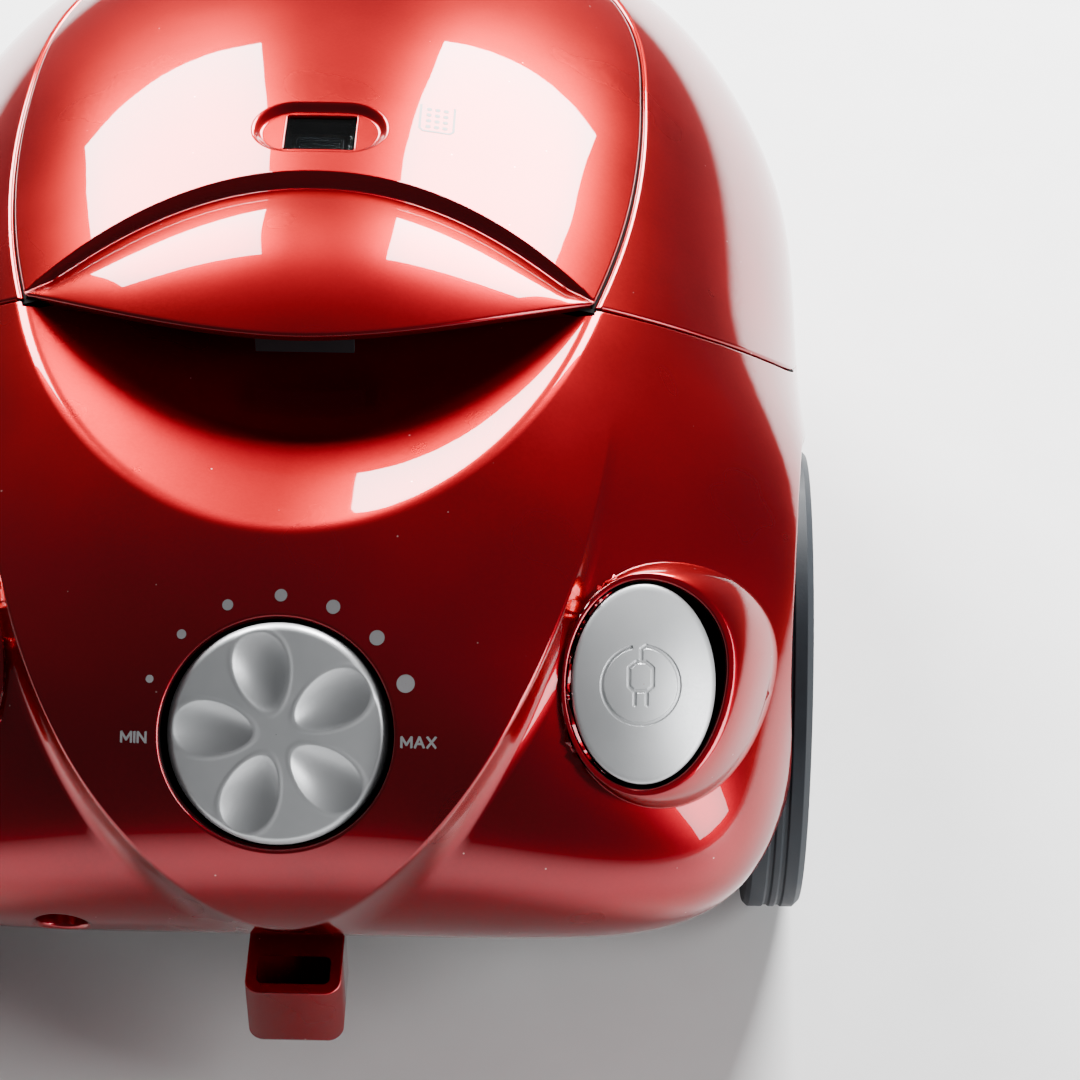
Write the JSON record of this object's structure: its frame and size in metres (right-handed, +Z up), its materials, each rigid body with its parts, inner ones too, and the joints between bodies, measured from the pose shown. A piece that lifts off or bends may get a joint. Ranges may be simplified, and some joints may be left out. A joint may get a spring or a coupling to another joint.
{
  "type": "canister vacuum cleaner",
  "caption": "Egg-shaped bagged canister vacuum cleaner on two large rear wheels and a front caster, with lifting bag lid, power dial and two press buttons.",
  "frame": {"origin": "on the floor, below the centre of the bounding box", "axes": "+X the machine's right, +Y its front with the hose inlet, +Z up"},
  "size_m": [0.291, 0.4354, 0.2061],
  "materials": {
    "red_gloss": "metallic red lacquered ABS, high gloss",
    "grey_plastic": "fine texture",
    "clear_lens": "clear polycarbonate, polished",
    "steel": "bright zinc plated",
    "rubber": "matt",
    "card": "pressed card",
    "bag_fleece": "non-woven fleece",
    "filter_foam": "open foam",
    "filter_paper": "pleated paper",
    "white_plastic": "satin",
    "copper": "lacquered copper winding",
    "orange_plastic": "satin",
    "silver_plastic": "satin silver lacquer on ABS",
    "circuit_board": "solder mask",
    "slate_plastic": "satin",
    "slate_rubber": "satin"
  },
  "bodies": {
    "root": {"base_tray": "grey_plastic", "lower_housing": "red_gloss", "upper_housing": "red_gloss", "hinge_pin": "steel", "lid_seal": "rubber", "inlet_collar": "grey_plastic", "inlet_seal": "rubber", "bag_chamber": "grey_plastic", "bag_holder": "grey_plastic", "bag_collar": "card", "dust_bag": "bag_fleece", "motor_filter": "filter_foam", "filter_frame": "white_plastic", "fan_cover": "steel", "motor_casing": "white_plastic", "stator": "steel", "brush_left": "rubber", "brush_right": "rubber", "front_motor_mount": "rubber", "rear_motor_mount": "rubber", "motor_cradle": "grey_plastic", "exhaust_grille": "grey_plastic", "exhaust_filter": "filter_paper", "vent_grille_left": "grey_plastic", "vent_grille_right": "grey_plastic", "spring_cassette": "orange_plastic", "reel_spindle": "steel", "reel_stand": "grey_plastic", "brake_pin": "steel", "potentiometer": "steel", "control_board": "circuit_board", "power_button_spring": "steel", "rewind_button_spring": "steel", "power_switch": "grey_plastic", "wheel_axle_left": "steel", "wheel_axle_right": "steel", "parking_bracket": "red_gloss"},
    "lid": {"bag_lid": "red_gloss", "indicator_window": "clear_lens"},
    "latch": {"lid_latch": "grey_plastic"},
    "indicator": {"indicator_flag": "grey_plastic"},
    "dial": {"power_dial": "silver_plastic", "dial_shaft": "steel"},
    "power_key": {"power_button": "silver_plastic"},
    "rewind_key": {"rewind_button": "silver_plastic"},
    "brake": {"brake_lever": "orange_plastic"},
    "brake_wheel": {"brake_roller": "rubber"},
    "reel": {"reel_drum": "white_plastic"},
    "rotor": {"impeller": "steel", "motor_shaft": "steel", "armature": "copper"},
    "rear_wheel_left": {"wheel_disc_left": "slate_plastic", "wheel_tyre_left": "slate_rubber", "hub_cap_left": "silver_plastic"},
    "rear_wheel_right": {"wheel_disc_right": "slate_plastic", "wheel_tyre_right": "slate_rubber", "hub_cap_right": "silver_plastic"},
    "caster": {"caster_fork": "grey_plastic", "caster_axle": "steel"},
    "caster_roller": {"caster_wheel": "slate_rubber"}
  },
  "joints": [
    {"name": "lid_hinge", "type": "hinge", "parent": "root", "child": "lid", "pos_m": [0, 0.1532, 0.161], "axis": [-1, 0, 0], "range_deg": [0, 60]},
    {"name": "latch_slide", "type": "slide", "parent": "lid", "child": "latch", "axis": [0, -1, 0], "range_m": [0, 0.004], "stiffness_N_per_m": 400, "springref_m": -0.002},
    {"name": "indicator_slide", "type": "slide", "parent": "lid", "child": "indicator", "axis": [0, 1, 0], "range_m": [0, 0.005], "stiffness_N_per_m": 20, "springref_m": -0.002},
    {"name": "dial_turn", "type": "hinge", "parent": "root", "child": "dial", "pos_m": [0, -0.1929, 0.1481], "axis": [0, -0.7193, 0.6947], "range_deg": [-135, 135]},
    {"name": "power_press", "type": "slide", "parent": "root", "child": "power_key", "axis": [0, 0.7193, -0.6947], "range_m": [0, 0.003], "stiffness_N_per_m": 600, "springref_m": -0.002, "deforming": ["power_button_spring"]},
    {"name": "rewind_press", "type": "slide", "parent": "root", "child": "rewind_key", "axis": [0, 0.7193, -0.6947], "range_m": [0, 0.005], "stiffness_N_per_m": 600, "springref_m": -0.002, "deforming": ["rewind_button_spring"]},
    {"name": "brake_pivot", "type": "hinge", "parent": "root", "child": "brake", "pos_m": [0.0967, -0.154, 0.108], "axis": [-1, 0, 0], "range_deg": [0, 18]},
    {"name": "brake_roller_spin", "type": "hinge", "parent": "brake", "child": "brake_wheel", "pos_m": [0.0967, -0.1506, 0.0886], "axis": [1, 0, 0], "continuous": true},
    {"name": "reel_spin", "type": "hinge", "parent": "root", "child": "reel", "pos_m": [0.07, -0.0898, 0.101], "axis": [1, 0, 0], "continuous": true},
    {"name": "motor_spin", "type": "hinge", "parent": "root", "child": "rotor", "pos_m": [-0.034, -0.09, 0.098], "axis": [0, 1, 0], "continuous": true},
    {"name": "wheel_spin_left", "type": "hinge", "parent": "root", "child": "rear_wheel_left", "pos_m": [-0.137, -0.0928, 0.069], "axis": [1, 0, 0], "continuous": true},
    {"name": "wheel_spin_right", "type": "hinge", "parent": "root", "child": "rear_wheel_right", "pos_m": [0.137, -0.0928, 0.069], "axis": [1, 0, 0], "continuous": true},
    {"name": "caster_swivel", "type": "hinge", "parent": "root", "child": "caster", "pos_m": [0, 0.06, 0.03], "axis": [0, 0, 1], "continuous": true},
    {"name": "caster_spin", "type": "hinge", "parent": "caster", "child": "caster_roller", "pos_m": [0, 0.051, 0.0135], "axis": [1, 0, 0], "continuous": true}
  ],
  "couplings": [
    {"joint": "brake_pivot", "follows": "rewind_press", "rad_per_m": 62}
  ]
}
